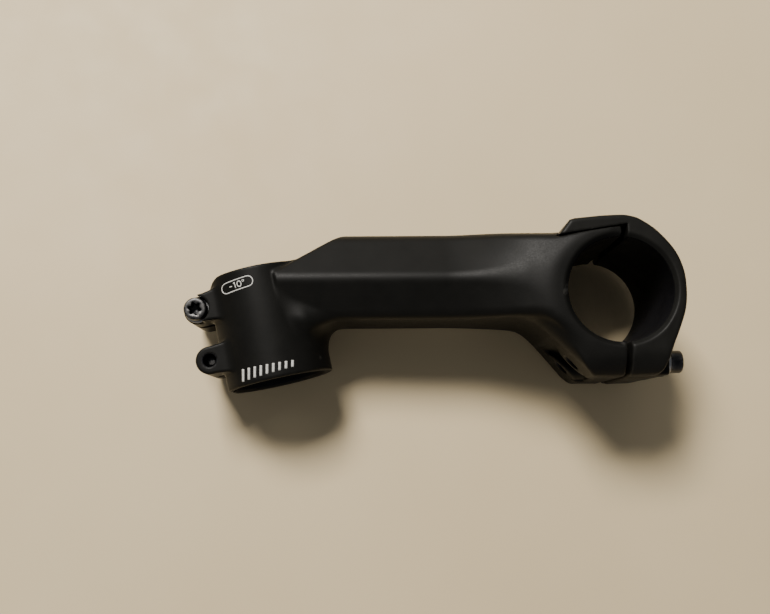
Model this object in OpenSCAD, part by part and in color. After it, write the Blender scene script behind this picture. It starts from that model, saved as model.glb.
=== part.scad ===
/* [Overall] */
// Distance from the steerer axis to the handlebar axis, along the stem
stem_length = 110; // [100:5:130]
// Angle between the extension and a line square to the steerer
stem_angle = 12.5; // [10:0.5:13]

/* [Extension] */
// Height of the extension's top above the line between the two axes
ext_top = 20; // [19.4:0.1:20.5]
// Depth of the extension's underside below that line
ext_bottom = 7.6; // [7:0.1:8.6]
// Half width of the extension at its side ridge
ext_half_w = 17.3; // [16:0.1:18]
// Height of the side ridge above the line between the two axes
ridge_y = 5; // [3:0.1:6]
// Wall thickness left around the hollow inside
wall = 3.3; // [2.8:0.1:4]

/* [Steerer clamp] */
// Bore for the steerer tube
steerer_d = 28.6; // [28.5:0.1:28.8]
// Height of the clamp above the reference point, along the steerer
clamp_rise = 9; // [8.6:0.1:10]
// Height of the clamp below the reference point, along the steerer
clamp_drop = 26.4; // [25.4:0.1:28]
// Half width of the clamp
clamp_half_w = 17.2; // [16.8:0.1:18]
// Radius kept clear above the clamp for a spacer or top cap
seat_r = 18.5; // [17.4:0.1:19]
// Distance from the steerer axis to the clamp's flat back
clamp_back = 15.5; // [15.4:0.1:16]
// Rounding of the clamp's upper rear edge
rear_round = 6.5; // [5:0.5:9]
// Width of the pinch slot at the back
slot_w = 2.8; // [2:0.1:3.6]
// Distance from the steerer axis to the upper pinch bolt
ear_reach = 19.6; // [19.4:0.1:20.4]
// Distance from the steerer axis to the lower pinch bolt
ear_reach_lower = 18.3; // [18:0.1:19]
// Half width of the pair of ears
ear_half_w = 12.5; // [12:0.1:13.5]
// Height of the upper pinch bolt against the reference point
ear_upper_s = 0.4; // [-0.6:0.1:0.8]
// Height of the lower pinch bolt against the reference point
ear_lower_s = -16.2; // [-17:0.1:-15.4]
// Radius of an ear's rounded end
ear_r = 4.3; // [4:0.1:4.5]

/* [Handlebar clamp] */
// Bore for the handlebar
bar_d = 31.8; // [31.7:0.1:32]
// Width of the clamp along the handlebar
bar_clamp_w = 46; // [44:1:48]
// Outer radius of the clamp
bar_clamp_r = 19.5; // [19.2:0.1:20]
// Chamfer at the mouth of the handlebar bore
mouth = 1.3; // [0.6:0.1:1.6]
// Gap between body and faceplate at the bolted side
split_gap = 1.5; // [1.2:0.1:2.7]
// Height of the faceplate's tongue above the handlebar axis
tongue_top = 22.6; // [22.4:0.1:22.8]
// Depth of the bolts below the handlebar axis
clamp_bolt_y = 20.9; // [20.8:0.1:21.6]
// Distance of each clamp bolt from the middle plane
clamp_bolt_z = 8.5; // [8:0.1:8.8]
// Rounding along the lower edges of the bolted lugs
lug_round = 10; // [8:0.5:11]
// Radius of the two bolt bosses left standing in the relief
boss_r = 4.3; // [4:0.1:4.6]
// Gap between the tongue and the body under it
tongue_gap = 0.35; // [0.3:0.05:0.45]
// Radius of the hinge bead under the tongue
bead_r = 1.5; // [1.4:0.05:1.6]

/* [Bolts] */
// Bolt size
bolt_d = 4; // [3.98:0.01:4.02]
// Bolt head diameter
head_d = 7; // [6.8:0.1:7.2]
// Bolt head height
head_h = 4; // [3.6:0.1:4.2]
// Washer diameter
washer_d = 7.9; // [7.6:0.1:8]
// Washer thickness
washer_t = 0.8; // [0.6:0.1:1]
// Length of a handlebar clamp bolt under its head
clamp_bolt_l = 26; // [24:1:28]
// Length of a steerer clamp bolt under its head
pinch_bolt_l = 18; // [16:1:20]

/* [Hidden] */
$fn = 96;
L = stem_length;
hw = bar_clamp_w / 2;
split_x = L + 0.6;                 // body's face at the split
plate_x = split_x + split_gap;     // faceplate's face at the split
lug_bottom = clamp_bolt_y + 5.1;   // underside of the bolted lugs
seat_x = L + 16;                   // face under the clamp bolts' washers
seat_z = ear_half_w - 4.3;         // face under the pinch bolts' washers
pivot = [L - 8, 18.35];            // axis of the faceplate's hinge bead
bead_fit = 0.05;                   // radial clearance of the hinge bead
thread_fit = 0.05;                 // radial clearance of a bolt in its thread
black = [0.055, 0.055, 0.06];
steel = [0.62, 0.63, 0.65];
oxide = [0.09, 0.09, 0.1];

// ---- helpers -------------------------------------------------------------
function unit(v) = v / norm(v);
// arc that rounds the corner b between a and c
function corner(a, b, c, r, n) =
    let(u = unit(a - b), w = unit(c - b),
        half = acos(max(-1, min(1, u * w))) / 2,
        o = b + unit(u + w) * r / sin(half),
        p = b + u * r / tan(half), q = b + w * r / tan(half),
        a0 = atan2(p[1] - o[1], p[0] - o[0]),
        a1 = atan2(q[1] - o[1], q[0] - o[0]),
        da = a1 - a0 > 180 ? a1 - a0 - 360 : a1 - a0 < -180 ? a1 - a0 + 360 : a1 - a0)
    r <= 0 ? [b] : [for (i = [0:n]) o + r * [cos(a0 + da * i / n), sin(a0 + da * i / n)]];
function rounded(pts, rs, n = 6) =
    let(k = len(pts))
    [for (i = [0:k - 1]) each corner(pts[(i + k - 1) % k], pts[i], pts[(i + 1) % k], rs[i], n)];
function arc(o, r, a0, a1, n) =
    [for (i = [0:n]) o + r * [cos(a0 + (a1 - a0) * i / n), sin(a0 + (a1 - a0) * i / n)]];

// steerer frame: local x forward, local y up the steerer, z across the stem
module steerer_frame() rotate([0, 0, stem_angle]) children();
module across(half) translate([0, 0, -half]) linear_extrude(height = 2 * half) children();

// ---- extension -----------------------------------------------------------
// Cross-section of the extension, shrunk by t; first coordinate across, second up
function ext_section(t, n) =
    rounded([[9.6 - 0.72 * t, ext_top - t], [ext_half_w - 1.02 * t, ridge_y],
             [13.3 - 0.85 * t, -ext_bottom + t], [-13.3 + 0.85 * t, -ext_bottom + t],
             [-ext_half_w + 1.02 * t, ridge_y], [-9.6 + 0.72 * t, ext_top - t]],
            [4.5 - t / 3, 4 - t / 3, 4 - t / 3, 4 - t / 3, 4 - t / 3, 4.5 - t / 3], n);

module along_x(x0, x1) translate([x0, 0, 0]) rotate([0, 90, 0]) linear_extrude(height = x1 - x0) children();

module extension() intersection() {
    along_x(4, L - 17) polygon(ext_section(0, 6));
    across(30) polygon([[4, -14], [L, -14], [L, 30], [41.5, 30], [4, 6.2]]);
}

// ---- steerer clamp -------------------------------------------------------
module clamp_outer() steerer_frame() intersection() {
    translate([0, clamp_rise, 0]) rotate([90, 0, 0]) cylinder(r = clamp_half_w, h = clamp_rise + clamp_drop);
    across(30) polygon(rounded([[-clamp_back, -clamp_drop], [30, -clamp_drop],
                                [30, clamp_rise], [-clamp_back, clamp_rise]], [1.2, 0, 0, rear_round], 10));
}

// Steeper lower flanks where the extension meets the clamp's sides
module shoulder() intersection() {
    hull() {
        along_x(4, 5) polygon(rounded([[9.5, ext_top - 0.1], [ext_half_w - 0.05, ridge_y], [15.9, -ext_bottom + 0.05],
                                       [-15.9, -ext_bottom + 0.05], [-ext_half_w + 0.05, ridge_y], [-9.5, ext_top - 0.1]],
                                      [3, 3, 3, 3, 3, 3], 3));
        along_x(22, 23) polygon(ext_section(0.08, 3));
    }
    across(30) polygon([[4, -14], [L, -14], [L, 30], [41.5, 30], [4, 6.2]]);
}

// Concave web between the clamp's front and the extension's underside
module web() {
    r = 9.5;
    xc = (clamp_half_w + r);
    yc = -ext_bottom - r;
    s = (yc - xc * sin(stem_angle)) / cos(stem_angle);
    c = [xc * cos(stem_angle) - s * sin(stem_angle), yc];
    across(12) difference() {
        polygon([[8, -ext_bottom + 3], [c[0], -ext_bottom + 3], [c[0], -ext_bottom - 0.02],
                 c, [c[0] - r * cos(stem_angle), c[1] - r * sin(stem_angle)], [10, c[1] - 2]]);
        translate(c) circle(r = r, $fn = 64);
    }
}

module ear(reach, s, top, bottom) steerer_frame() across(ear_half_w)
    polygon(concat(arc([-reach, s], ear_r, 90, 270, 20),
                   [[-clamp_back - 1.2, s - ear_r], [-clamp_back + 5, s - ear_r - bottom],
                    [-clamp_back + 5, s + ear_r + top], [-clamp_back - 1.2, s + ear_r]]));

// ---- handlebar clamp -----------------------------------------------------
// Flare from the extension's section to the full width of the clamp
module flare() hull() {
    along_x(L - 38, L - 37) polygon(ext_section(0.08, 3));
    along_x(L - 20.4, L - 19.6) polygon(rounded(
        [[9.5, ext_top - 0.1], [20.6, 16.6], [hw - 0.1, ridge_y], [hw - 0.6, -ext_bottom + 0.1],
         [-hw + 0.6, -ext_bottom + 0.1], [-hw + 0.1, ridge_y], [-20.6, 16.6], [-9.5, ext_top - 0.1]],
        [1, 3, 3, 3, 3, 3, 3, 1], 3));
    translate([L, 0, -hw + 0.1]) cylinder(r = bar_clamp_r - 0.35, h = 2 * hw - 0.2, $fn = 32);
}

// Section of the bolted lugs across the stem, rounded at its two lower edges
module lug_section() along_x(L - 60, L + 40)
    polygon(rounded([[-hw, 60], [-hw, -lug_bottom - 1.5], [hw, -lug_bottom - 1.5], [hw, 60]],
                    [0, lug_round, lug_round, 0], 10));

module lower_lug() difference() {
    intersection() {
        across(hw) polygon(rounded([[L - 29, -4], [L - 26.2, -ext_bottom + 0.6], [L - 8.6, -lug_bottom],
                                    [L + 3, -lug_bottom], [L + 3, -4]], [0, 5, 2.5, 0, 0], 6));
        lug_section();
        // plan: widens from the extension's underside to the full clamp
        rotate([90, 0, 0]) linear_extrude(height = 80, center = true)
            polygon([[L - 33, -12.6], [L - 11, -hw], [L + 9, -hw], [L + 9, hw], [L - 11, hw], [L - 33, 12.6]]);
    }
    // relief between the two bolt bosses, open to the slanted underside
    difference() {
        across(clamp_bolt_z) polygon(rounded([[L - 20, -40], [L - 19.5, -14.6], [L - 15.5, -16], [L - 9, -20.5],
                                              [L - 6, -23.2], [L - 5, -40]], [0, 0.4, 3, 3, 1, 0], 5));
        for (z = [-clamp_bolt_z, clamp_bolt_z])
            translate([L - 60, -clamp_bolt_y, z]) rotate([0, 90, 0]) cylinder(r = boss_r, h = 80);
    }
}

// Outline under and behind the tongue; g is the gap kept to it
function tongue_rear(g) = [[L - 18.2 - 1.4 * g, 16.6 - g], [L - 14.8 - 1.4 * g, 21.2]];
module tongue_pocket() across(30)
    polygon([tongue_rear(0)[0] - [tongue_gap * 1.4, tongue_gap],
             [L + 6, 16.6 + 24.2 * 0.153 - tongue_gap], [L + 6, 40],
             [L + 1.9 - tongue_gap * 1.4, 40],
             [L - 14.8 - tongue_gap * 1.4, 21.2]]);

module bar_bore() {
    translate([L, 0, -40]) cylinder(d = bar_d, h = 80);
    for (m = [0, 1]) mirror([0, 0, m])
        translate([L, 0, hw - mouth]) cylinder(r1 = bar_d / 2, r2 = bar_d / 2 + mouth + 0.5, h = mouth + 0.5);
}

module steerer_bore() steerer_frame() {
    translate([0, 40, 0]) rotate([90, 0, 0]) cylinder(d = steerer_d, h = 90);
    translate([0, clamp_rise + 0.3, 0]) rotate([90, 0, 0])
        cylinder(r1 = steerer_d / 2 + 0.8, r2 = steerer_d / 2, h = 0.8);
    translate([0, -clamp_drop - 0.3, 0]) rotate([-90, 0, 0])
        cylinder(r1 = steerer_d / 2 + 0.8, r2 = steerer_d / 2, h = 0.8);
}

// Hollow from the handlebar bore back into the extension, closed at the rear
module hollow() intersection() {
    along_x(23, L - 8) polygon(ext_section(wall, 4));
    across(20) polygon([[24, -12], [L, -12], [L, 4], [L - 12, 10.4], [L - 22, 13], [L - 32, 30], [45.4, 30], [24, 14.8]]);
}

module stem_body() color(black) difference() {
    union() {
        clamp_outer();
        shoulder();
        extension();
        web();
        ear(ear_reach, ear_upper_s, 1.2, 0.6);
        ear(ear_reach_lower, ear_lower_s, 0.6, 0.6);
        flare();
        translate([L, 0, -hw]) cylinder(r = bar_clamp_r, h = 2 * hw);
        lower_lug();
    }
    bar_bore();
    steerer_bore();
    // round seat for a spacer or top cap, cut into the foot of the ramp
    steerer_frame() translate([0, clamp_rise, 0]) rotate([-90, 0, 0]) cylinder(r = seat_r, h = 20);
    hollow();
    tongue_pocket();
    // split plane
    translate([split_x, -60, -60]) cube([60, 120, 120]);
    // pinch slot
    steerer_frame() translate([-40, -60, -slot_w / 2]) cube([30, 120, slot_w]);
    // groove for the hinge bead
    translate([pivot[0], pivot[1], -17.3]) cylinder(r = bead_r + bead_fit, h = 34.6);
    // threads for the clamp bolts
    for (z = [-clamp_bolt_z, clamp_bolt_z])
        translate([L - 40, -clamp_bolt_y, z]) rotate([0, 90, 0]) cylinder(r = bolt_d / 2 + thread_fit, h = 60);
    // holes and seats for the pinch bolts
    steerer_frame() {
        translate([-ear_reach, ear_upper_s, 0]) pinch_hole();
        translate([-ear_reach_lower, ear_lower_s, 0]) mirror([0, 0, 1]) pinch_hole();
    }
}

module pinch_hole() {
    translate([0, 0, 0]) cylinder(d = bolt_d + 0.5, h = 30);
    translate([0, 0, -30]) cylinder(r = bolt_d / 2 + thread_fit, h = 30.5);
    translate([0, 0, seat_z]) cylinder(r = 4.2, h = 20);
}

// ---- faceplate -----------------------------------------------------------
module plate_outer() {
    // ring and tongue, the full width of the clamp
    across(hw) polygon(concat(
        [[L - 18.2, 16.6], [L - 14.8, 21.2], [L - 13.3, 21.6], [L - 5.1, tongue_top - 0.18],
         [L - 1, tongue_top - 0.02], [L + 1.4, tongue_top]],
        arc([L - 3.57, 0.66], 22.87, 70, 0, 24),
        arc([L, 0], bar_clamp_r - 0.05, -6, -20, 6),
        [[L + 16.5, -11.2], [L + 15.3, -14.3], [L + 13.9, -17.5], [L + 12.5, -20.6], [plate_x, -21.6], [plate_x, 0], [L + 3, 12]]));
    // bolted lug, and the boss under the bolt heads
    across(hw) polygon(rounded(
        [[plate_x, -lug_bottom], [L + 11.5, -lug_bottom + 0.5], [L + 13.6, -20.5], [L + 14.6, -16.5],
         [L + 15, -9], [plate_x, -9]], [1, 3, 2, 0, 0, 0], 5));
    across(13.4) polygon(rounded(
        [[plate_x, -lug_bottom + 0.3], [L + 12.5, -lug_bottom + 0.5], [seat_x, -clamp_bolt_y - 4.3],
         [seat_x, -clamp_bolt_y + 4.3], [L + 15.2, -12], [plate_x, -9]], [0, 3, 1, 1.5, 0, 0], 5));
}

module faceplate() color(black) union() {
    difference() {
        intersection() {
            plate_outer();
            lug_section();
        }
        bar_bore();
        // room for the body's lip under the tongue
        across(30) polygon([[L - 25, 16.6 - 6.8 * 0.153], [L + 2.4, 16.6 + 20.6 * 0.153],
                            [L + 2.4, 5], [L - 25, 5]]);
        across(30) polygon([[L - 30, 10], [plate_x, 10], [plate_x, -60], [L - 30, -60]]);
        for (z = [-clamp_bolt_z, clamp_bolt_z]) {
            translate([L, -clamp_bolt_y, z]) rotate([0, 90, 0]) cylinder(d = 5.4, h = 40);
        }
    }
    // hinge bead and its neck
    intersection() {
        union() {
            translate([pivot[0], pivot[1], -17]) cylinder(r = bead_r, h = 34);
            translate([pivot[0] - 1, pivot[1], -17]) cube([2, 1.6, 34]);
        }
        across(20) polygon([[L - 12, 14], [L - 4, 14], [L - 4, 21], [L - 12, 21]]);
    }
}

// ---- bolts and washers ---------------------------------------------------
// Six-lobed drive recess
module lobes(depth) for (i = [0:5]) rotate([0, 0, 60 * i + 30])
    linear_extrude(height = depth) translate([1.52, 0]) circle(r = 0.62, $fn = 24);

// Bolt with its head above z = 0 and its shank below
module bolt(length) difference() {
    union() {
        cylinder(d = head_d, h = head_h - 0.4);
        translate([0, 0, head_h - 0.4]) cylinder(d1 = head_d, d2 = head_d - 0.8, h = 0.4);
        translate([0, 0, -length + 0.6]) cylinder(d = bolt_d, h = length);
        translate([0, 0, -length]) cylinder(d1 = bolt_d - 1.2, d2 = bolt_d, h = 0.6);
    }
    translate([0, 0, head_h - 2.3]) {
        cylinder(r = 1.6, h = 5);
        lobes(5);
    }
}

module washer() difference() {
    cylinder(d = washer_d, h = washer_t);
    translate([0, 0, -1]) cylinder(r = bolt_d / 2 + 0.08, h = washer_t + 2);
}

module at_clamp(z, out) translate([seat_x + out, -clamp_bolt_y, z]) rotate([0, 90, 0]) children();
module at_pinch_upper(out) steerer_frame() translate([-ear_reach, ear_upper_s, seat_z + out]) children();
module at_pinch_lower(out) steerer_frame() translate([-ear_reach_lower, ear_lower_s, -seat_z - out])
    rotate([180, 0, 0]) children();

module clamp_bolt_right() color(oxide) at_clamp(clamp_bolt_z, washer_t) bolt(clamp_bolt_l);
module clamp_bolt_left() color(oxide) at_clamp(-clamp_bolt_z, washer_t) bolt(clamp_bolt_l);
module clamp_washer_right() color(steel) at_clamp(clamp_bolt_z, 0) washer();
module clamp_washer_left() color(steel) at_clamp(-clamp_bolt_z, 0) washer();
module pinch_bolt_upper() color(oxide) at_pinch_upper(washer_t) bolt(pinch_bolt_l);
module pinch_bolt_lower() color(oxide) at_pinch_lower(washer_t) bolt(pinch_bolt_l);
module pinch_washer_upper() color(steel) at_pinch_upper(0) washer();
module pinch_washer_lower() color(steel) at_pinch_lower(0) washer();

stem_body();
faceplate();
clamp_bolt_right();
clamp_bolt_left();
clamp_washer_right();
clamp_washer_left();
pinch_bolt_upper();
pinch_bolt_lower();
pinch_washer_upper();
pinch_washer_lower();
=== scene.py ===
import math

import bpy
import numpy as np
from mathutils import Matrix, Vector


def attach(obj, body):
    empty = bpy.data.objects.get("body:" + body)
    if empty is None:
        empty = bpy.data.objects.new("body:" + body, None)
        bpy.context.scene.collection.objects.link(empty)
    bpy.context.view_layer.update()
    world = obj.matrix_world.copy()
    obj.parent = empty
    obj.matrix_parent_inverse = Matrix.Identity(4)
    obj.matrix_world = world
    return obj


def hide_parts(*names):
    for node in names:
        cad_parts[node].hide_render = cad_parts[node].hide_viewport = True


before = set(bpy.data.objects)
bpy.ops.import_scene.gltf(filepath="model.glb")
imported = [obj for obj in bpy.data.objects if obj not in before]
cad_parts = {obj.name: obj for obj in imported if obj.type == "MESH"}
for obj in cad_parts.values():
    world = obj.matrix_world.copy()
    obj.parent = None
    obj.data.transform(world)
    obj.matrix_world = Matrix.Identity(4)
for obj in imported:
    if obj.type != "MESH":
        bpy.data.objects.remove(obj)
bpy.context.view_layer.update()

# ---------------------------------------------------------------- dimensions, mm
L = 110.0
HW = 23.0
A = math.radians(12.5)
CA, SA = math.cos(A), math.sin(A)
BAR_R, MOUTH = 15.9, 1.3
TUBE_R = 14.3
RISE, DROP = 9.0, 26.4
LUG_Y = 26.0
BOLT_Y, BOLT_Z = 20.9, 8.5
SPLIT = L + 0.6
PLATE = SPLIT + 1.5
SEAT_X = L + 16.0
EARS_AT = ((19.6, 0.4, 1.2, 1), (18.3, -16.2, 0.6, -1))   # reach, height, flare above, side of the head
CLAMP_R = 17.2
EAR_R = 4.3
SEAT_Z = 8.2
WASH = 0.8
PIVOT = (L - 8, 18.35)
H = 0.45


# ---------------------------------------------------------------- 2-D outlines
def corner(a, b, c, r, n):
    a, b, c = (np.array(p, float) for p in (a, b, c))
    if r <= 0:
        return [b]
    u = (a - b) / np.linalg.norm(a - b)
    w = (c - b) / np.linalg.norm(c - b)
    half = math.acos(max(-1, min(1, float(u @ w)))) / 2
    m = (u + w) / np.linalg.norm(u + w)
    o = b + m * r / math.sin(half)
    p, q = b + u * r / math.tan(half), b + w * r / math.tan(half)
    a0 = math.atan2(p[1] - o[1], p[0] - o[0])
    a1 = math.atan2(q[1] - o[1], q[0] - o[0])
    da = (a1 - a0 + math.pi) % (2 * math.pi) - math.pi
    return [o + r * np.array([math.cos(a0 + da * i / n), math.sin(a0 + da * i / n)]) for i in range(n + 1)]


def rounded(pts, rs, n=8):
    k = len(pts)
    out = []
    for i in range(k):
        out += corner(pts[i - 1], pts[i], pts[(i + 1) % k], rs[i], n)
    return np.array(out)


def arc(o, r, a0, a1, n):
    t = np.radians(np.linspace(a0, a1, n + 1))
    return [np.array([o[0] + r * math.cos(v), o[1] + r * math.sin(v)]) for v in t]


# ---------------------------------------------------------------- distance fields
def smin(a, b, k):
    h = np.maximum(k - np.abs(a - b), 0) / k
    return np.minimum(a, b) - h * h * k * 0.25


def smax(a, b, k):
    return -smin(-a, -b, k)


def poly(x, y, pts):
    d2 = None
    inside = None
    n = len(pts)
    for i in range(n):
        p, q = pts[i], pts[(i + 1) % n]
        ex, ey = q[0] - p[0], q[1] - p[1]
        wx, wy = x - p[0], y - p[1]
        t = np.clip((wx * ex + wy * ey) / (ex * ex + ey * ey + 1e-12), 0, 1)
        d = (wx - ex * t) ** 2 + (wy - ey * t) ** 2
        d2 = d if d2 is None else np.minimum(d2, d)
        c1, c2, c3 = y >= p[1], y < q[1], ex * wy > ey * wx
        f = (c1 & c2 & c3) | (~c1 & ~c2 & ~c3)
        inside = f if inside is None else inside ^ f
    return np.where(inside, -1.0, 1.0) * np.sqrt(d2)


def extrude(d, dz, r):
    a, b = d + r, dz + r
    return np.minimum(np.maximum(a, b), 0) + np.hypot(np.maximum(a, 0), np.maximum(b, 0)) - r


def box_corner(u, v, r):
    """Field of the quarter space u < 0, v < 0 with its edge rounded by r."""
    a, b = u + r, v + r
    return np.minimum(np.maximum(a, b), 0) + np.hypot(np.maximum(a, 0), np.maximum(b, 0)) - r


def step(t):
    t = np.clip(t, 0, 1)
    return t * t * (3 - 2 * t)


def tongue_rear(g):
    return [[L - 18.2 - 1.4 * g, 16.6 - g], [L - 14.8 - 1.4 * g, 21.2]]


LUG_SIDE = rounded([[L - 29, -4], [L - 26.2, -7.0], [L - 8.6, -LUG_Y], [L + 4, -LUG_Y], [L + 4, -4]], [0, 5, 2.5, 0, 0])
RELIEF = rounded([[L - 20, -40], [L - 19.5, -14.6], [L - 15.5, -16], [L - 9, -20.5], [L - 6, -23.2], [L - 5, -40]],
                 [0, 0.4, 3, 3, 1, 0])
HOLLOW = np.array([[24, -12], [L, -12], [L, 4], [L - 12, 10.4], [L - 22, 13], [L - 32, 30], [45.4, 30], [24, 14.8]], float)
POCKET = np.array([[tongue_rear(0)[0][0] - 0.45, tongue_rear(0)[0][1] - 0.35], [L + 6, 16.6 + 24.2 * 0.153 - 0.35], [L + 6, 40],
                   [L - 0.5, 40], [tongue_rear(0)[1][0] - 0.5, 21.2]], float)
CB = 15.5
EARS = []
for reach, s0, top, side in EARS_AT:
    EARS.append(np.array(arc((-reach, s0), EAR_R, 90, 270, 24) +
                         [np.array(p, float) for p in ([-CB - 1.2, s0 - EAR_R], [-CB + 5, s0 - EAR_R - 0.6],
                                                       [-CB + 5, s0 + EAR_R + top], [-CB - 1.2, s0 + EAR_R])]))


def spline(pts, n=8):
    """Smooth curve through the points."""
    p = np.array([2 * np.array(pts[0]) - pts[1]] + [list(q) for q in pts] + [2 * np.array(pts[-1]) - pts[-2]], float)
    out = []
    for i in range(1, len(p) - 2):
        for k in range(n):
            t = k / n
            out.append(0.5 * (2 * p[i] + (p[i + 1] - p[i - 1]) * t + (2 * p[i - 1] - 5 * p[i] + 4 * p[i + 1] - p[i + 2]) * t * t
                              + (3 * p[i] - p[i - 1] - 3 * p[i + 1] + p[i + 2]) * t ** 3))
    return [list(q) for q in out] + [list(p[-2])]


RING = np.array([[L - 18.2, 16.6], [L - 14.8, 21.2], [L - 13.3, 21.62], [L - 5.1, 22.42]] +
                spline([(L - 1, 22.6), (L + 1.6, 22.6), (L + 4.25, 22.1), (L + 6.7, 21.1), (L + 11.5, 17.6), (L + 16.3, 11.9), (L + 18.7, 6.3),
                        (L + 19.4, 0.5), (L + 18.95, -5.5), (L + 17.2, -11.0), (L + 14.9, -16.4), (L + 12.9, -20.6)]) +
                [[PLATE, -21.6], [PLATE, 0], [L + 3, 12]])
PLATE_LUG = rounded([[PLATE, -LUG_Y], [L + 11.5, -LUG_Y + 0.5], [L + 13.3, -20.5], [L + 14.1, -16.5], [L + 14.6, -9], [PLATE, -9]],
                    [1, 3, 3, 0, 0, 0], 6)
BOSS = rounded([[PLATE, -LUG_Y + 0.3], [L + 12.5, -LUG_Y + 0.5], [SEAT_X, -BOLT_Y - 4.2], [SEAT_X, -BOLT_Y + 4.3], [L + 15.2, -12], [PLATE, -9]],
               [0, 3, 0.8, 1.5, 0, 0], 6)
LIP_ROOM = np.array([[L - 25, 16.6 - 6.8 * 0.153], [L + 2.4, 16.6 + 20.6 * 0.153], [L + 2.4, 5], [L - 25, 5]], float)


def bar_bore(rr, az):
    return np.minimum(rr - BAR_R, (rr - BAR_R - (az - (HW - MOUTH))) * 0.7071)


def section(y, az, w, wt=9.6, lean=0.3175, grow=0.0):
    """Extension's section: half width w at the ridge and wt at the top, lower flank leaning in below the ridge."""
    n = np.sqrt(225.0 + (w - wt) ** 2)
    up = ((az - w) * 15.0 + (y - 5) * (w - wt)) / n
    lo = ((az - w) - (y - 5) * lean) / np.sqrt(1 + lean * lean)
    f = smax(up, lo, 1.5)
    f = smax(f, y - 20.0, 3.0)
    f = smax(f, (az - 11) * 0.289 + (y - 20) * 0.957, 2.0)
    return smax(f, -7.6 - y, 3.0) + grow


def body_field(x, y, z):
    az = np.abs(z)
    a, s = x * CA + y * SA, -x * SA + y * CA
    rr = np.hypot(x - L, y)
    rho = np.hypot(a, z)
    # extension, widening to the handlebar clamp
    t = step((x - (L - 52)) / 34)
    w = 17.3 + (HW - 0.1 - 17.3) * t
    ext = section(y, az, w, 9.6 + 11.2 * t, 0.3175 * (1 - 0.9 * t))
    ext = smax(ext, (y - 6.24 - 0.634 * (x - 4)) * 0.8446, 0.9)
    ext = np.maximum(smax(ext, 6.6 - a, 0.9), x - (L - 5))
    # handlebar clamp and its bolted lug
    ring = extrude(rr - 19.5, az - HW, 2.2)
    lug = smax(poly(x, y, LUG_SIDE), box_corner(az - HW, -y - LUG_Y - 1.5, 10.0), 0.7)
    lug = smax(lug, (az - 12.6) * 0.904 - (x - (L - 33)) * 0.4275, 3.0)
    cut = np.maximum(poly(x, y, RELIEF), np.maximum(az - BOLT_Z, 4.3 - np.hypot(y + BOLT_Y, az - BOLT_Z)))
    front = smin(ext, ring, 8.0)
    front = smin(front, lug, 5.0)
    front = smax(front, -cut, 1.0)
    # steerer clamp
    cl = np.minimum(rho - CLAMP_R, np.maximum(np.maximum((az - 17.2) * 0.922 + (a - 1.5) * 0.387, a - 18.3), np.maximum(6.0 - a, 2.0 - s)))
    cl = smax(cl, np.maximum(s - RISE, -s - DROP), 0.7)
    cl = smax(cl, box_corner(-a - CB, s - RISE, 6.5), 0.8)
    # the blend grows into a wide fillet under the extension
    f = smin(front, cl, 1.2 + 9.2 * step((1 - y) / 10) * step((a - 5) / 9))
    for e in EARS:
        f = smin(f, extrude(poly(a, s, e), az - 12.5, 0.6), 1.3)
    f = smax(f, az - HW, 1.6)
    f = np.maximum(f, -s - DROP + np.where(x > 40, -50, 0))
    # cuts
    f = smax(f, -np.maximum(rho - 18.5, RISE - s), 0.5)
    f = smax(f, -bar_bore(rr, az), 0.3)
    tube = np.minimum(rho - TUBE_R, np.minimum((rho - TUBE_R - (s - (RISE - 0.6))) * 0.7071,
                                               (rho - TUBE_R - (-s - (DROP - 0.6))) * 0.7071))
    f = smax(f, -tube, 0.3)
    inner = np.maximum(section(y, az, 17.3, grow=3.3), poly(x, y, HOLLOW))
    f = smax(f, -inner, 0.8)
    f = smax(f, -poly(x, y, POCKET), 0.45)
    f = smax(f, x - SPLIT, 0.6)
    f = smax(f, -np.maximum(az - 1.4, a + 10), 0.5)
    f = np.maximum(f, -np.maximum(np.hypot(x - PIVOT[0], y - PIVOT[1]) - 1.6, az - 17.4))
    hole = np.maximum(np.hypot(y + BOLT_Y, az - BOLT_Z) - 2.05, 70 - x)
    f = smax(f, -hole, 0.4)
    for reach, s0, top, side in EARS_AT:
        q = np.hypot(a + reach, s - s0)
        zz = z * side
        f = smax(f, -np.maximum(q - np.where(zz > 0, 2.25, 2.05), a + 10), 0.35)
        f = smax(f, -np.maximum(q - 4.2, SEAT_Z - zz), 0.35)
    return f


def plate_field(x, y, z):
    az = np.abs(z)
    rr = np.hypot(x - L, y)
    ring = extrude(poly(x, y, RING), az - HW, 1.3)
    lug = extrude(poly(x, y, PLATE_LUG), az - HW, 2.0)
    f = smin(ring, lug, 1.5)
    f = smin(f, extrude(poly(x, y, BOSS), az - 13.4, 1.2), 2.5)
    f = np.maximum(f, x - SEAT_X + np.where(y < -14, 0, -50))
    f = smax(f, box_corner(az - HW, -y - LUG_Y - 1.5, 10.0), 0.7)
    f = np.maximum(f, x - (L + 19.45))
    f = smax(f, -bar_bore(rr, az), 0.3)
    f = smax(f, -poly(x, y, LIP_ROOM), 0.4)
    f = smax(f, -np.maximum(x - PLATE, y - 10), 0.6)
    f = smax(f, -(np.hypot(y + BOLT_Y, az - BOLT_Z) - 2.7), 0.5)
    bead = np.maximum(np.hypot(x - PIVOT[0], y - PIVOT[1]) - 1.5, az - 17)
    neck = np.maximum(np.maximum(np.abs(x - PIVOT[0]) - 1, np.abs(y - PIVOT[1] - 0.8) - 0.8), az - 17)
    return np.minimum(f, np.minimum(bead, neck))


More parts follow.
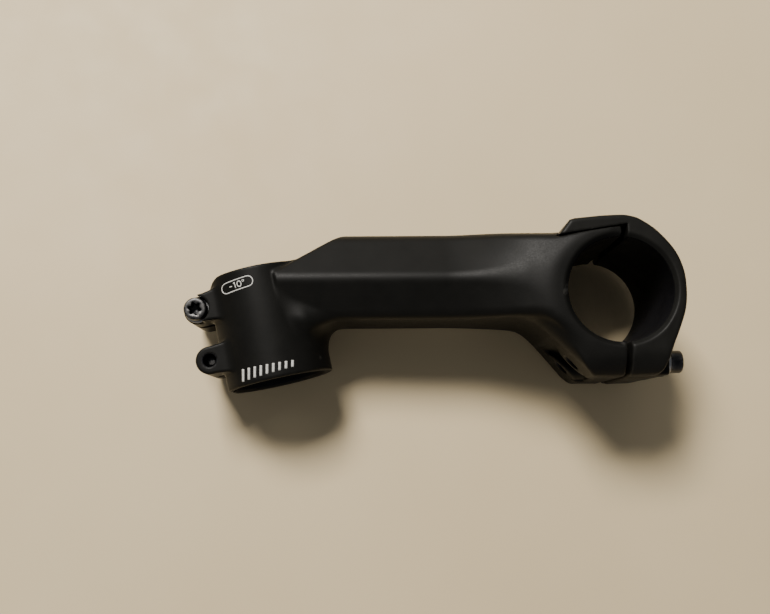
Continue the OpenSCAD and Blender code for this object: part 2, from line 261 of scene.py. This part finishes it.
# ---------------------------------------------------------------- surface from a field
def contour(fn, lo, hi, h):
    """Dual contouring: one vertex per crossed cell, set where the field's tangent planes meet."""
    lo, hi = np.array(lo, float), np.array(hi, float)
    n = np.ceil((hi - lo) / h).astype(int) + 1
    ax = [lo[d] + h * np.arange(n[d]) for d in range(3)]
    F = np.broadcast_to(fn(ax[0][:, None, None], ax[1][None, :, None], ax[2][None, None, :]), tuple(n)).astype(np.float32)
    S = F < 0
    m = n - 1
    cells, pos, nor, quads = [], [], [], []
    for d in range(3):
        lo_s = [slice(None)] * 3
        hi_s = [slice(None)] * 3
        lo_s[d], hi_s[d] = slice(0, -1), slice(1, None)
        i = np.argwhere(S[tuple(lo_s)] != S[tuple(hi_s)])
        j = i.copy()
        j[:, d] += 1
        f0, f1 = F[tuple(i.T)].astype(float), F[tuple(j.T)].astype(float)
        t = f0 / (f0 - f1)
        p = lo + i * h
        p[:, d] += t * h
        # one secant step on the exact field
        g = fn(p[:, 0], p[:, 1], p[:, 2])
        p[:, d] -= np.clip(g * h / (f1 - f0), -0.3 * h, 0.3 * h)
        e = 0.02
        grad = np.empty_like(p)
        for c in range(3):
            a, b = p.copy(), p.copy()
            a[:, c] += e
            b[:, c] -= e
            grad[:, c] = fn(a[:, 0], a[:, 1], a[:, 2]) - fn(b[:, 0], b[:, 1], b[:, 2])
        grad /= np.linalg.norm(grad, axis=1)[:, None] + 1e-12
        u, v = (d + 1) % 3, (d + 2) % 3
        corners = []
        for du, dv in ((-1, -1), (0, -1), (0, 0), (-1, 0)):
            c = i.copy()
            c[:, u] += du
            c[:, v] += dv
            corners.append((c[:, 0] * m[1] + c[:, 1]) * m[2] + c[:, 2])
        q = np.stack(corners, 1)
        flip = ~S[tuple(i.T)]
        q[flip] = q[flip][:, ::-1]
        quads.append(q)
        cells.append(q.reshape(-1))
        pos.append(np.repeat(p, 4, 0))
        nor.append(np.repeat(grad, 4, 0))
    cells, pos, nor = np.concatenate(cells), np.concatenate(pos), np.concatenate(nor)
    ids, inv = np.unique(cells, return_inverse=True)
    inv = inv.reshape(-1)
    k = len(ids)
    cnt = np.bincount(inv, minlength=k).astype(float)
    mass = np.stack([np.bincount(inv, pos[:, c], k) for c in range(3)], 1) / cnt[:, None]
    rel = pos - mass[inv]
    dist = (nor * rel).sum(1)
    M = np.empty((k, 3, 3))
    for r in range(3):
        for c in range(3):
            M[:, r, c] = np.bincount(inv, nor[:, r] * nor[:, c], k)
    M += np.eye(3)[None] * (0.04 * cnt)[:, None, None]
    b = np.stack([np.bincount(inv, nor[:, c] * dist, k) for c in range(3)], 1)
    v = np.linalg.solve(M, b[:, :, None])[:, :, 0]
    cell = np.stack([ids // (m[1] * m[2]), (ids // m[2]) % m[1], ids % m[2]], 1)
    c0 = lo + cell * h
    verts = np.clip(mass + v, c0 + 0.02 * h, c0 + 0.98 * h)
    back = np.searchsorted(ids, np.concatenate(quads))
    return verts, back


# ---------------------------------------------------------------- meshes and materials
def add_mesh(name, verts, faces, body, mats, nodes=(), index=None):
    me = bpy.data.meshes.new(name)
    verts = np.asarray(verts, float) * 0.001
    if isinstance(faces, np.ndarray):
        k = faces.shape[1]
        me.vertices.add(len(verts))
        me.vertices.foreach_set("co", verts.astype(np.float32).ravel())
        me.loops.add(faces.size)
        me.loops.foreach_set("vertex_index", faces.astype(np.int32).ravel())
        me.polygons.add(len(faces))
        me.polygons.foreach_set("loop_start", np.arange(0, faces.size, k, dtype=np.int32))
    else:
        me.from_pydata(verts.tolist(), [], faces)
    me.update(calc_edges=True)
    me.validate()
    for m in mats:
        me.materials.append(m)
    if index is not None:
        me.polygons.foreach_set("material_index", np.asarray(index, np.int32))
    me.polygons.foreach_set("use_smooth", np.ones(len(me.polygons), bool))
    me.update()
    ob = bpy.data.objects.new(name, me)
    bpy.context.scene.collection.objects.link(ob)
    if body:
        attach(ob, body)
    if nodes:
        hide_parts(*nodes)
    return ob


class Nodes:
    def __init__(self, name):
        self.mat = bpy.data.materials.new(name)
        self.mat.use_nodes = True
        self.t = self.mat.node_tree
        self.bsdf = self.t.nodes["Principled BSDF"]
        self.coord = self.t.nodes.new("ShaderNodeTexCoord").outputs["Object"]

    def new(self, kind, **kw):
        n = self.t.nodes.new(kind)
        for k, v in kw.items():
            setattr(n, k, v)
        return n

    def link(self, a, b):
        self.t.links.new(a, b)

    def noise(self, scale, detail=3.0, rough=0.55, stretch=None):
        n = self.new("ShaderNodeTexNoise")
        n.inputs["Scale"].default_value = scale
        n.inputs["Detail"].default_value = detail
        n.inputs["Roughness"].default_value = rough
        src = self.coord
        if stretch:
            mp = self.new("ShaderNodeMapping")
            mp.inputs["Scale"].default_value = stretch
            self.link(src, mp.inputs["Vector"])
            src = mp.outputs["Vector"]
        self.link(src, n.inputs["Vector"])
        return n.outputs["Fac"]

    def ramp(self, src, stops):
        n = self.new("ShaderNodeValToRGB")
        els = n.color_ramp.elements
        while len(els) < len(stops):
            els.new(0.5)
        for e, (p, c) in zip(els, stops):
            e.position = p
            e.color = (c, c, c, 1) if not isinstance(c, tuple) else (*c, 1)
        self.link(src, n.inputs["Fac"])
        return n.outputs["Color"]

    def math(self, op, a, b):
        n = self.new("ShaderNodeMath", operation=op)
        for s, v in zip(n.inputs, (a, b)):
            if isinstance(v, (int, float)):
                s.default_value = v
            else:
                self.link(v, s)
        return n.outputs[0]

    def mix(self, fac, a, b):
        n = self.new("ShaderNodeMix", data_type="RGBA")
        for s, v in ((n.inputs[0], fac), (n.inputs[6], a), (n.inputs[7], b)):
            if isinstance(v, tuple):
                s.default_value = (*v, 1)
            elif isinstance(v, (int, float)):
                s.default_value = v
            else:
                self.link(v, s)
        return n.outputs[2]

    def rng(self, src, a, b, lo=0.3, hi=0.7):
        n = self.new("ShaderNodeMapRange")
        n.inputs["From Min"].default_value = lo
        n.inputs["From Max"].default_value = hi
        n.inputs["To Min"].default_value = a
        n.inputs["To Max"].default_value = b
        self.link(src, n.inputs["Value"])
        return n.outputs["Result"]

    def bump(self, layers):
        prev = None
        for src, strength, dist in layers:
            n = self.new("ShaderNodeBump")
            n.inputs["Strength"].default_value = strength
            n.inputs["Distance"].default_value = dist
            self.link(src, n.inputs["Height"])
            if prev is not None:
                self.link(prev, n.inputs["Normal"])
            prev = n.outputs["Normal"]
        self.link(prev, self.bsdf.inputs["Normal"])

    def edges(self, lo, hi, breakup=900.0):
        """Convex edges from the mesh's own curvature, broken up so that wear isn't even."""
        g = self.new("ShaderNodeNewGeometry").outputs["Pointiness"]
        e = self.ramp(g, [(lo, 0.0), (hi, 1.0)])
        return self.math("MULTIPLY", e, self.rng(self.noise(breakup, 4), 0.0, 1.0, 0.35, 0.65))


def coating(name, tone=1.0):
    m = Nodes(name)
    mott = m.noise(160, 4)
    grain = m.noise(2600, 2, 0.6)
    col = m.mix(m.rng(mott, 0, 1), (0.0052 * tone, 0.0051 * tone, 0.0045 * tone), (0.0066 * tone, 0.0064 * tone, 0.0056 * tone))
    wear = m.edges(0.53, 0.59)
    col = m.mix(m.math("MULTIPLY", wear, 0.55), col, (0.045, 0.043, 0.039))
    m.link(col, m.bsdf.inputs["Base Color"])
    rough = m.math("ADD", m.rng(mott, 0.42, 0.47), m.rng(grain, -0.05, 0.05))
    m.link(rough, m.bsdf.inputs["Roughness"])
    m.bsdf.inputs["Specular IOR Level"].default_value = 0.11
    m.bump([(m.noise(420, 3), 0.18, 0.00006), (grain, 0.35, 0.000035)])
    return m.mat


def bored(name):
    """Thinly coated bore with fine turning marks round it."""
    m = Nodes(name)
    mott = m.noise(120, 4)
    col = m.mix(m.rng(mott, 0, 1), (0.0056, 0.0055, 0.0068), (0.0085, 0.0083, 0.0100))
    marks = m.noise(55, 4, 0.7, stretch=(1.0, 1.0, 0.25))
    col = m.mix(m.ramp(marks, [(0.64, 0.0), (0.74, 0.30)]), col, (0.05, 0.049, 0.048))
    m.link(col, m.bsdf.inputs["Base Color"])
    m.link(m.rng(mott, 0.42, 0.55), m.bsdf.inputs["Roughness"])
    m.bsdf.inputs["Specular IOR Level"].default_value = 0.2
    m.bump([(m.noise(900, 2, 0.5, stretch=(0.15, 0.15, 3.0)), 0.25, 0.00003), (m.noise(2200, 2), 0.2, 0.00002)])
    return m.mat


def metal(name, dark, light, worn, rough, edge=(0.51, 0.56), turned=0.25):
    m = Nodes(name)
    mott = m.noise(500, 4)
    col = m.mix(m.rng(mott, 0, 1), dark, light)
    col = m.mix(m.math("MULTIPLY", m.edges(*edge, breakup=1800), 0.9), col, worn)
    m.link(col, m.bsdf.inputs["Base Color"])
    m.bsdf.inputs["Metallic"].default_value = 1.0
    m.link(m.rng(mott, *rough), m.bsdf.inputs["Roughness"])
    m.bump([(m.noise(3500, 2), turned, 0.00002)])
    return m.mat


def ink(name):
    m = Nodes(name)
    n = m.noise(1500, 4)
    m.link(m.mix(m.rng(n, 0, 1), (0.50, 0.49, 0.46), (0.66, 0.65, 0.62)), m.bsdf.inputs["Base Color"])
    m.link(m.rng(n, 0.42, 0.58), m.bsdf.inputs["Roughness"])
    m.bump([(m.noise(2600, 2), 0.3, 0.00002)])
    return m.mat


BODY = coating("body_coating")
# same paint as the body, painted 1.4 times lighter: painted light for the brighter light that falls on the faceplate's
# tongue
PLATE_PAINTED_LIGHTER = coating("faceplate_coating_painted_lighter", 1.4)
BORE = bored("bore_coating")
STEEL = metal("black_oxide_steel", (0.026, 0.026, 0.028), (0.050, 0.050, 0.050), (0.26, 0.25, 0.24), (0.34, 0.48))
ZINC = metal("zinc_steel", (0.34, 0.34, 0.35), (0.48, 0.48, 0.48), (0.66, 0.66, 0.65), (0.24, 0.40))
INK = ink("white_ink")


# ---------------------------------------------------------------- forgings
def faces_in_bores(verts, quads, stem):
    c = verts[quads].mean(1)
    x, y, z = c.T
    bar = np.abs(np.hypot(x - L, y) - BAR_R) < 0.12
    idx = bar & (np.abs(z) < HW - MOUTH)
    if stem:
        a, s = x * CA + y * SA, -x * SA + y * CA
        idx |= (np.abs(np.hypot(a, z) - TUBE_R) < 0.12) & (s < RISE - 0.5) & (s > -DROP + 0.5)
        idx |= (np.hypot(y + BOLT_Y, np.abs(z) - BOLT_Z) < 2.15) & (x > 80)
        for reach, s0, top, side in EARS_AT:
            idx |= np.hypot(a + reach, s - s0) < 2.35
        idx |= (section(y, np.abs(z), 17.3, grow=3.3) < 0.4) & (x > 23) & (x < L - 8)
    else:
        idx |= np.hypot(y + BOLT_Y, np.abs(z) - BOLT_Z) < 2.8
    return idx.astype(np.int32)


v, q = contour(body_field, (-25.6, -29.9, -24.1), (L + 2.1, 24.0, 24.1), H)
add_mesh("stem_forging", v, q, "stem", [BODY, BORE], ("stem_body",), faces_in_bores(v, q, True))
v, q = contour(plate_field, (L - 20.3, -27.3, -24.1), (L + 20.7, 23.9, 24.1), H)
add_mesh("faceplate_forging", v, q, "faceplate", [PLATE_PAINTED_LIGHTER, BORE], ("faceplate",), faces_in_bores(v, q, False))


# ---------------------------------------------------------------- bolts and washers
def turned(rows, n, closed=False):
    """rows: a list of (n,3) rings from one end to the other; a ring of one point closes an end."""
    verts, faces, starts = [], [], []
    for r in rows:
        starts.append(len(verts))
        verts += [tuple(p) for p in r]
    pairs = list(zip(range(len(rows)), list(range(1, len(rows))) + ([0] if closed else [])))
    if not closed:
        pairs = pairs[:len(rows) - 1]
    for i, j in pairs:
        a, b = starts[i], starts[j]
        for k in range(n):
            l = (k + 1) % n
            if len(rows[i]) == 1:
                faces.append((a, b + l, b + k))
            elif len(rows[j]) == 1:
                faces.append((a + k, a + l, b))
            else:
                faces.append((a + k, a + l, b + l, b + k))
    return np.array(verts), faces


def ring(r, z, n, th):
    r = np.broadcast_to(r, th.shape)
    return np.stack([r * np.cos(th), r * np.sin(th), np.full_like(th, z)], 1)


def bolt(length, plain):
    n = 48
    th = np.arange(n) * 2 * math.pi / n
    rows = [np.array([[0, 0, -length]]), ring(1.0, -length, n, th), ring(1.35, -length + 0.12, n, th)]
    z = -length + 0.2
    while z < -plain:
        ph = (z / 0.7 - th / (2 * math.pi)) % 1.0
        tri = np.abs(ph * 2 - 1)
        depth = 0.38 * np.clip(1.25 * tri - 0.12, 0, 1)
        taper = min(1.0, 0.72 + 0.28 * (z + length) / 0.7)
        fade = min(1.0, (-plain - z) / 0.7)
        rows.append(ring((1.97 - depth * fade) * taper, z, n, th))
        z += 0.7 / 6
    rows.append(ring(1.93, -plain, n, th))
    rows += [ring(1.95, -0.35, n, th), ring(2.0, -0.12, n, th), ring(2.25, 0.0, n, th)]
    rows += [ring(3.28, 0.0, n, th), ring(3.42, 0.06, n, th), ring(3.49, 0.22, n, th)]
    for zz in (0.9, 1.8, 2.7, 3.3):
        rows.append(ring(3.495, zz, n, th))
    rows += [ring(3.47, 3.5, n, th), ring(3.37, 3.74, n, th), ring(3.2, 3.9, n, th), ring(3.0, 3.965, n, th), ring(2.6, 3.985, n, th)]
    lobe = 1.80 + 0.30 * np.cos(6 * th)
    rows += [ring(lobe + 0.20, 3.975, n, th), ring(lobe + 0.10, 3.93, n, th), ring(lobe, 3.80, n, th)]
    for zz in (3.3, 2.7, 2.1):
        rows.append(ring(lobe, zz, n, th))
    rows += [ring(lobe, 1.5, n, th), ring(lobe - 0.10, 1.25, n, th), ring(1.2, 1.10, n, th), ring(0.6, 0.75, n, th), np.array([[0, 0, 0.6]])]
    return turned(rows, n)


def washer():
    n = 64
    th = np.arange(n) * 2 * math.pi / n
    prof = [(2.10, 0.10), (2.20, 0.0), (3.80, 0.0), (3.92, 0.05), (3.95, 0.16), (3.95, 0.62), (3.90, 0.74), (3.78, 0.79),
            (2.9, 0.80), (2.22, 0.80), (2.12, 0.74), (2.09, 0.62), (2.09, 0.3)]
    return turned([ring(r, z, n, th) for r, z in prof], n, closed=True)


def place(v, origin, axis, spin=0.0):
    """Local +z along axis."""
    w = np.array(axis, float)
    w /= np.linalg.norm(w)
    u = np.cross([0.3, 0.5, 0.2], w)
    u /= np.linalg.norm(u)
    t = np.cross(w, u)
    u, t = u * math.cos(spin) + t * math.sin(spin), -u * math.sin(spin) + t * math.cos(spin)
    return np.array(origin) + v @ np.stack([u, t, w])


def loc(a, s, z):
    return (a * CA - s * SA, a * SA + s * CA, z)


SITES = {
    "clamp_bolt_right": ((SEAT_X, -BOLT_Y, BOLT_Z), (1, 0, 0), 26, 3.5, 0.2),
    "clamp_bolt_left": ((SEAT_X, -BOLT_Y, -BOLT_Z), (1, 0, 0), 26, 3.5, 0.9),
    "pinch_bolt_upper": (loc(-EARS_AT[0][0], EARS_AT[0][1], SEAT_Z), (0, 0, 1), 18, 2.0, 0.35),
    "pinch_bolt_lower": (loc(-EARS_AT[1][0], EARS_AT[1][1], -SEAT_Z), (0, 0, -1), 18, 2.0, 0.6),
}
for name, (o, ax, length, plain, spin) in SITES.items():
    v, f = bolt(length, plain)
    add_mesh(name + "_steel", place(v, np.array(o) + WASH * np.array(ax, float), ax, spin), f, name, [STEEL], (name,))
    wn = name.replace("bolt", "washer")
    v, f = washer()
    add_mesh(wn + "_steel", place(v, o, ax), f, wn, [ZINC], (wn,))


# ---------------------------------------------------------------- print on the steerer clamp
def side_z(a, s):
    """Height of the clamp's side over each point (a, s), found on the body's own field."""
    a, s = np.atleast_1d(np.asarray(a, float)), np.atleast_1d(np.asarray(s, float))
    lo, hi = np.full(a.shape, 10.0), np.full(a.shape, 19.0)
    for _ in range(26):
        m = (lo + hi) / 2
        inside = body_field(a * CA - s * SA, a * SA + s * CA, m) < 0
        lo, hi = np.where(inside, m, lo), np.where(inside, hi, m)
    return lo


def stroke(verts, faces, pts, width, closed=False, top=0.035, base=-0.10):
    """A raised line of that width along pts, given in (a, s), laid over the clamp's side."""
    pts = np.array(pts, float)
    if closed:
        pts = np.vstack([pts, pts[:1]])
    out = [pts[0]]
    for p, q in zip(pts[:-1], pts[1:]):
        k = max(1, int(np.ceil(np.linalg.norm(q - p) / 0.5)))
        out += [p + (q - p) * (i + 1) / k for i in range(k)]
    p = np.array(out)
    if closed:
        p = p[:-1]
        tan = np.roll(p, -1, 0) - np.roll(p, 1, 0)
    else:
        tan = np.gradient(p, axis=0)
    tan /= np.linalg.norm(tan, axis=1)[:, None]
    nrm = np.stack([-tan[:, 1], tan[:, 0]], 1) * width / 2
    a, b = p + nrm, p - nrm
    k0, n = len(verts), len(p)
    za, zb = side_z(a[:, 0], a[:, 1]), side_z(b[:, 0], b[:, 1])
    for i in range(n):
        for w_, zz in ((a[i], za[i] + top), (b[i], zb[i] + top), (b[i], zb[i] + base), (a[i], za[i] + base)):
            verts.append(loc(w_[0], w_[1], float(zz)))
    m = n if closed else n - 1
    for i in range(m):
        j = (i + 1) % n
        for c in range(4):
            d = (c + 1) % 4
            faces.append((k0 + 4 * i + c, k0 + 4 * i + d, k0 + 4 * j + d, k0 + 4 * j + c))
    if not closed:
        faces.append((k0 + 3, k0 + 2, k0 + 1, k0))
        e = k0 + 4 * (n - 1)
        faces.append((e, e + 1, e + 2, e + 3))


def ellipse(c, rx, ry, n=28):
    return [(c[0] + rx * math.cos(t), c[1] + ry * math.sin(t)) for t in np.linspace(0, 2 * math.pi, n, endpoint=False)]


def pill(c, half, r):
    pts = [(c[0] + half + r * math.cos(t), c[1] + r * math.sin(t)) for t in np.linspace(-math.pi / 2, math.pi / 2, 12)]
    pts += [(c[0] - half + r * math.cos(t), c[1] + r * math.sin(t)) for t in np.linspace(math.pi / 2, 1.5 * math.pi, 12)]
    return pts


def tilted(pts, c, deg):
    t = math.radians(deg)
    return [(c[0] + p[0] * math.cos(t) - p[1] * math.sin(t), c[1] + p[0] * math.sin(t) + p[1] * math.cos(t)) for p in pts]


V, Fc = [], []
PC, TILT = (-5.0, 4.1), 3.5      # pill centre, and its tilt against the clamp
stroke(V, Fc, tilted(pill((0, 0), 3.5, 1.6), PC, TILT), 0.30, closed=True)
stroke(V, Fc, tilted([(-2.5, 0.0), (-1.55, 0.0)], PC, TILT), 0.30)
stroke(V, Fc, tilted([(-1.05, 0.62), (-0.6, 0.95), (-0.6, -0.95)], PC, TILT), 0.30)
stroke(V, Fc, tilted(ellipse((0.75, 0), 0.62, 0.88), PC, TILT), 0.30, closed=True)
stroke(V, Fc, tilted(ellipse((2.15, 0.62), 0.30, 0.30, 16), PC, TILT), 0.20, closed=True)
for i in range(9):
    a0, hgt = -9.3 + 1.95 * i, 3.7 - 0.21 * i
    base_s = -25.1 + 0.06 * (a0 + 9)
    stroke(V, Fc, [(a0, base_s), (a0 + 0.22 * hgt, base_s + hgt)], 0.75)
add_mesh("clamp_print", V, Fc, "stem", [INK])

# ---------------------------------------------------------------- floor, light, camera
tilt = math.atan2(HW - 17.2, 92 + 15.0)
fl = bpy.data.meshes.new("floor")
fv, ff = [], []
for i, (x, zz) in enumerate(((-1.6, 0), (1.8, 0))):
    for y in (-1.4, 1.4):
        fv.append((x, y, zz))
ff = [(0, 2, 3, 1)]
rot = Matrix.Translation((0.092, 0, -HW * 0.001 - 0.0005)) @ Matrix.Rotation(tilt, 4, "Y")
fl.from_pydata([tuple(rot @ Vector(p)) for p in fv], [], ff)
fm = Nodes("pale_floor")
n = fm.noise(9, 4)
fm.link(fm.mix(fm.rng(n, 0, 1), (0.70, 0.56, 0.335), (0.74, 0.60, 0.37)), fm.bsdf.inputs["Base Color"])
fm.link(fm.rng(fm.noise(60, 3), 0.55, 0.68), fm.bsdf.inputs["Roughness"])
fm.bump([(fm.noise(900, 3), 0.08, 0.00005)])
fl.materials.append(fm.mat)
floor = bpy.data.objects.new("floor", fl)
bpy.context.scene.collection.objects.link(floor)


def area(name, where, target, size, power, colour=(1, 1, 1), size_y=None):
    li = bpy.data.lights.new(name, "AREA")
    li.energy = power
    li.color = colour
    li.size = size
    if size_y:
        li.shape = "RECTANGLE"
        li.size_y = size_y
    ob = bpy.data.objects.new(name, li)
    ob.location = where
    ob.rotation_euler = (Vector(target) - Vector(where)).to_track_quat("-Z", "Y").to_euler()
    bpy.context.scene.collection.objects.link(ob)
    return ob


mid = (0.055, 0, 0)
area("key", (-0.20, 0.56, 0.84), mid, 0.30, 17.5, (1.0, 0.96, 0.90))
area("window", (0.05, 1.0, 0.36), mid, 0.9, 1.5, (1.0, 0.98, 0.93), 0.4)
area("low_fill", (0.1, -0.8, 0.25), mid, 0.8, 0.5, (1.0, 0.93, 0.84))

world = bpy.data.worlds.new("studio")
world.use_nodes = True
world.node_tree.nodes["Background"].inputs["Color"].default_value = (0.92, 0.95, 1.0, 1)
world.node_tree.nodes["Background"].inputs["Strength"].default_value = 0.14
bpy.context.scene.world = world

cam = bpy.data.cameras.new("camera")
cam.sensor_fit = "HORIZONTAL"
cam.sensor_width = 36.0
cam.lens = 884.97 / 770 * 36
cam.clip_start = 0.005
cam.clip_end = 20
camera = bpy.data.objects.new("camera", cam)
X = Vector((0.9999756397, -0.0069231367, 0.0008888778))
Y = -Vector((-0.0067201448, -0.9893360831, -0.1454955476))
Z = -Vector((0.0018866845, 0.1454860299, -0.9893585071))
camera.matrix_world = Matrix.Translation((0.03883972, -0.04335938, 0.28217682)) @ Matrix((X, Y, Z)).transposed().to_4x4()
bpy.context.scene.collection.objects.link(camera)
bpy.context.scene.camera = camera
